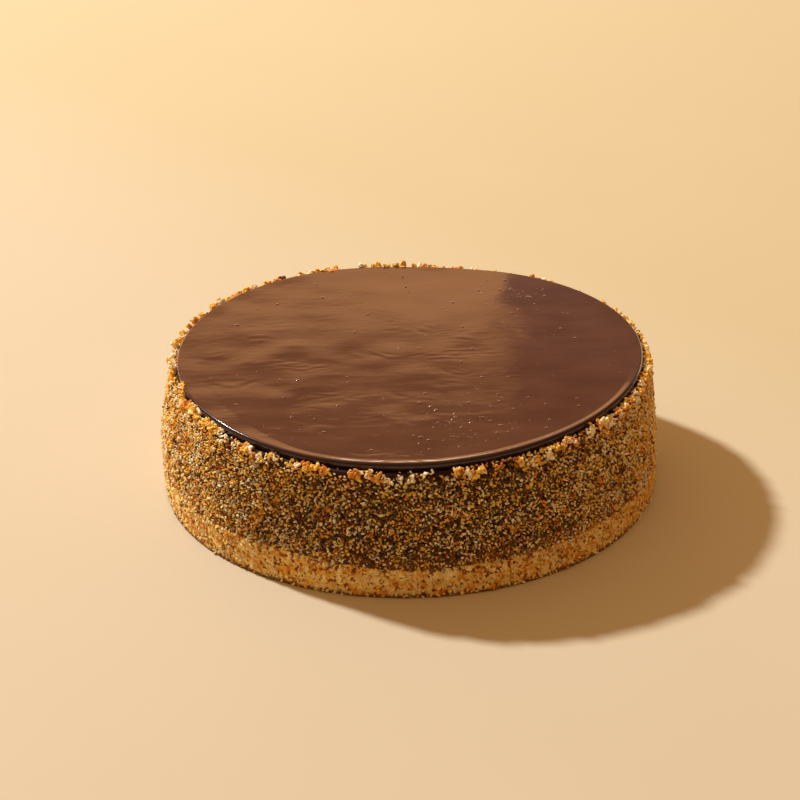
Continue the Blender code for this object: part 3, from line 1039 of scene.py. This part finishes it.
# %% Throw every coat, the largest crumbs first
patch_kin = rng.uniform(0, 1, (PATCHES, PATCHES))
crest_band = (WALL_LENGTH - 0.6 * MM, COAT_LENGTH - 0.4 * MM)
rim_places = clumps(RIM_CLUMPS, *crest_band, spread=0.8 * MM, sizes=(0.42 * MM, 0.9 * MM))
clump_band = (15 * MM, WALL_LENGTH - MM)
clump_places = clumps(SIDE_CLUMPS, *clump_band, spread=0.75 * MM, sizes=(0.36 * MM, 0.72 * MM))
coats = {  # tries, lowest and highest place, sizes in mm, overlap, creep, sink, share left bare in front
    "top": (8000, WALL_LENGTH - 2 * MM, COAT_LENGTH + 0.1 * MM, (0.36, 0.66), 0.8, 0.0, 0.35, 0.65),
    "side": (56000, 0.8 * MM, WALL_LENGTH, (0.38, 0.68), 0.8, 0.9, 0.30, 0.1),
    "grit": (100000, 0.6 * MM, WALL_LENGTH, (0.24, 0.44), 0.8, 0.9, 0.24, 0.1),
    "foot": (6500, 0.5 * MM, FOOT_TOP, (0.4, 0.85), 1.05, 0.0, 0.28, 0.0),
    "foot_grit": (9000, 0.3 * MM, FOOT_TOP, (0.24, 0.42), 1.1, 0.0, 0.22, 0.0),
}
crumb_places = {"rim": rim_places, "clump": clump_places}
for coat, (tries, low, high, sizes, overlap, creep, sink, bare) in coats.items():
    thrown = throw(strip, tries, low, high, [size * MM for size in sizes], overlap, creep)
    crumb_places[coat] = pressed(thrown, sink, bare)
print({coat: len(places) for coat, places in crumb_places.items()})

# %% [markdown]
# ## From places to meshes
#
# Every shape in a family has the same faces, so thousands of crumbs are one array sum: pick a shape, turn it
# at random, scale it, move it. All crumbs of one kind become one mesh. Each crumb carries two numbers on its
# points, how far it was toasted and how much painted shade it takes on the front away from the lamp, and
# the finish reads both.


# %% Make crumb meshes
REACH_LIMIT = min(-cad_box[0][0], cad_box[1][0], -cad_box[0][1], cad_box[1][1])


def random_turns(count):
    """Rotation matrices from quaternions, each a random point on a ball in four dimensions."""
    return np.array([Quaternion(four).to_matrix() for four in unit(rng.normal(size=(count, 4)))])


def crumb_piece(name, places, shapes, faces, material, shade_weight):
    """One mesh of crumbs, from rows of (across, along, size, lift, rise, kin). The last argument is how much
    painted shade they take on the cake's front, away from the lamp."""
    count = len(places)
    across, along, size, lift, rise, _ = places.T
    middle = on_coat(across, along, lift)
    middle[:, 2] += rise
    chosen = shapes[rng.integers(0, len(shapes), count)]
    turned = np.einsum("nij,nkj->nki", random_turns(count), chosen)
    points = turned * size[:, None, None] + middle[:, None, :]
    reach = np.hypot(points[:, :, 0], points[:, :, 1]).max(axis=1)
    points[:, :, :2] *= np.minimum(1, REACH_LIMIT / reach)[:, None, None]
    points[:, :, 2] -= np.maximum(points[:, :, 2].max(axis=1) - TOP, 0)[:, None]
    points = points.reshape(-1, 3)
    points[:, 2] = np.clip(points[:, 2], 0.05 * MM, TOP)
    per_crumb = shapes.shape[1]
    all_faces = faces[None] + (np.arange(count) * per_crumb)[:, None, None]
    piece = new_piece(name, points, all_faces.reshape(-1, 3), material, smooth=False)
    note_on_points(piece, "toast", np.repeat(rng.uniform(0, 1, count), per_crumb))
    # Painted shade: crumbs on the shaded front go dark, each by its own random share.
    clouds = 1 + 1.2 * soft_noise(middle, (9 * MM, 9 * MM, 6 * MM), 15)
    shade_share = shade_weight * painted_shade(across / WIDEST_RADIUS) * clouds * 3.8 * rng.uniform(0, 1, count) ** 3
    note_on_points(piece, "painted_shade", np.repeat(np.clip(shade_share, 0, 0.9), per_crumb))
    return piece


# %% [markdown]
# ### Finish of the crumbs
#
# Dried sponge goes from cream through gold to amber as it toasts, and its torn face is matt. Each kind
# mixes two near colours by the crumb's own toast number, with darker specks painted as the shade in its
# pits, and goes dark with painted shade on the cake's front, away from the lamp. A small constant
# subsurface share lets light sink a little way into it.

# %% Crumb finishes
CRUMB_COLOURS = {
    "cream": (linear(255, 245, 216), linear(250, 223, 168)),
    "straw": (linear(252, 232, 176), linear(240, 204, 128)),
    "golden": (linear(254, 213, 108), linear(240, 181, 62)),
    "amber": (linear(236, 164, 58), linear(208, 127, 38)),
    "brown": (linear(150, 98, 48), linear(84, 48, 24)),
}


def crumb_finish(kind):
    pale, deep = CRUMB_COLOURS[kind]
    shaded_chocolate = linear(36, 19, 10)

    def pattern(tree):
        toast = Wire.make(tree, "ShaderNodeAttribute", {"attribute_name": "toast"}, output="Fac")
        patch = grain(tree, 1.1 * MM, detail=2.0)
        # Painted shade in the crumb's pits: sparse darker specks.
        pit_shade = stepped(tree, grain(tree, 0.55 * MM, detail=2.0), 0.60, 0.72)
        # Painted shade: crumbs on the shaded front are mixed towards a dark brown.
        shade_share = Wire.make(tree, "ShaderNodeAttribute", {"attribute_name": "painted_shade"}, output="Fac")
        share = 0.65 * toast + 0.35 * patch
        body = mixed(tree, shade_share, mixed(tree, share, pale, deep), shaded_chocolate)
        pit_shade_colour = tuple(c * 0.45 for c in deep)
        pores = grain(tree, 0.4 * MM, detail=2.0)
        depth = {"Height": pores, "Strength": 0.6, "Distance": 0.25 * MM}
        bump = Wire.make(tree, "ShaderNodeBump", (), depth)
        return {"Base Color": mixed(tree, 0.55 * pit_shade, body, pit_shade_colour), "Normal": bump}

    constants = {
        "Roughness": 0.82,
        "Specular IOR Level": 0.3,
        "Subsurface Weight": 0.12,
        "Subsurface Radius": (1.0, 0.55, 0.25),
        "Subsurface Scale": 0.6 * MM,
    }
    return finish(f"{kind}_crumb", constants, pattern)


crumb_finishes = {kind: crumb_finish(kind) for kind in CRUMB_COLOURS}
print("finishes:", list(crumb_finishes))


# %% Share the places out and make the crumbs
def share_out(places, shares, loyalty):
    """Splits places among the kinds that have a share. So many crumbs follow their kin."""
    kinds = [(kind, share) for kind, share in zip(CRUMB_COLOURS, shares) if share]
    bounds = np.cumsum([share for _, share in kinds])
    loyal = rng.uniform(0, 1, len(places)) < loyalty
    draw = np.where(loyal, places[:, 5], rng.uniform(0, 1, len(places))) * bounds[-1]
    chosen = np.searchsorted(bounds, draw)
    return {kind: places[chosen == i] for i, (kind, _) in enumerate(kinds)}


BODY = ("cake_body", "crumb_coat")
FOOT = ("foot_layer", "golden_crumb")
families = {  # shapes, ball, node and slot, weight of painted shade, loyalty, shares of cream, straw, golden, amber and brown
    "rim": (fine_shapes, fine_ball, BODY, 0.0, 0.8, (0.36, 0, 0.40, 0.22, 0.02)),
    "clump": (coarse_shapes, coarse_ball, BODY, 0.8, 0.7, (0.30, 0, 0.36, 0.26, 0.08)),
    "top": (coarse_shapes, coarse_ball, BODY, 0.3, 0.5, (0.36, 0, 0.34, 0.2, 0.1)),
    "side": (small_shapes, small_ball, BODY, 1.0, 0.4, (0.2, 0.19, 0.33, 0.2, 0.08)),
    "grit": (grit_shapes, grit_ball, BODY, 1.0, 0.4, (0.19, 0.17, 0.32, 0.22, 0.1)),
    "foot": (coarse_shapes, coarse_ball, FOOT, 0.0, 0.5, (0, 0.5, 0.38, 0.12, 0)),
    "foot_grit": (grit_shapes, grit_ball, FOOT, 0.0, 0.5, (0, 0.34, 0.38, 0.28, 0)),
}
for family, (shapes, ball, (node, slot), shade_weight, loyalty, shares) in families.items():
    for kind, chosen in share_out(crumb_places[family], shares, loyalty).items():
        piece = crumb_piece(f"{family}_crumbs_{kind}", chosen, shapes, ball[1], crumb_finishes[kind], shade_weight)
        dress(piece, node)
visible = [piece for piece in bpy.data.objects if piece.type == "MESH" and not piece.hide_render]
print(sum(len(piece.data.polygons) for piece in visible), "triangles in all")
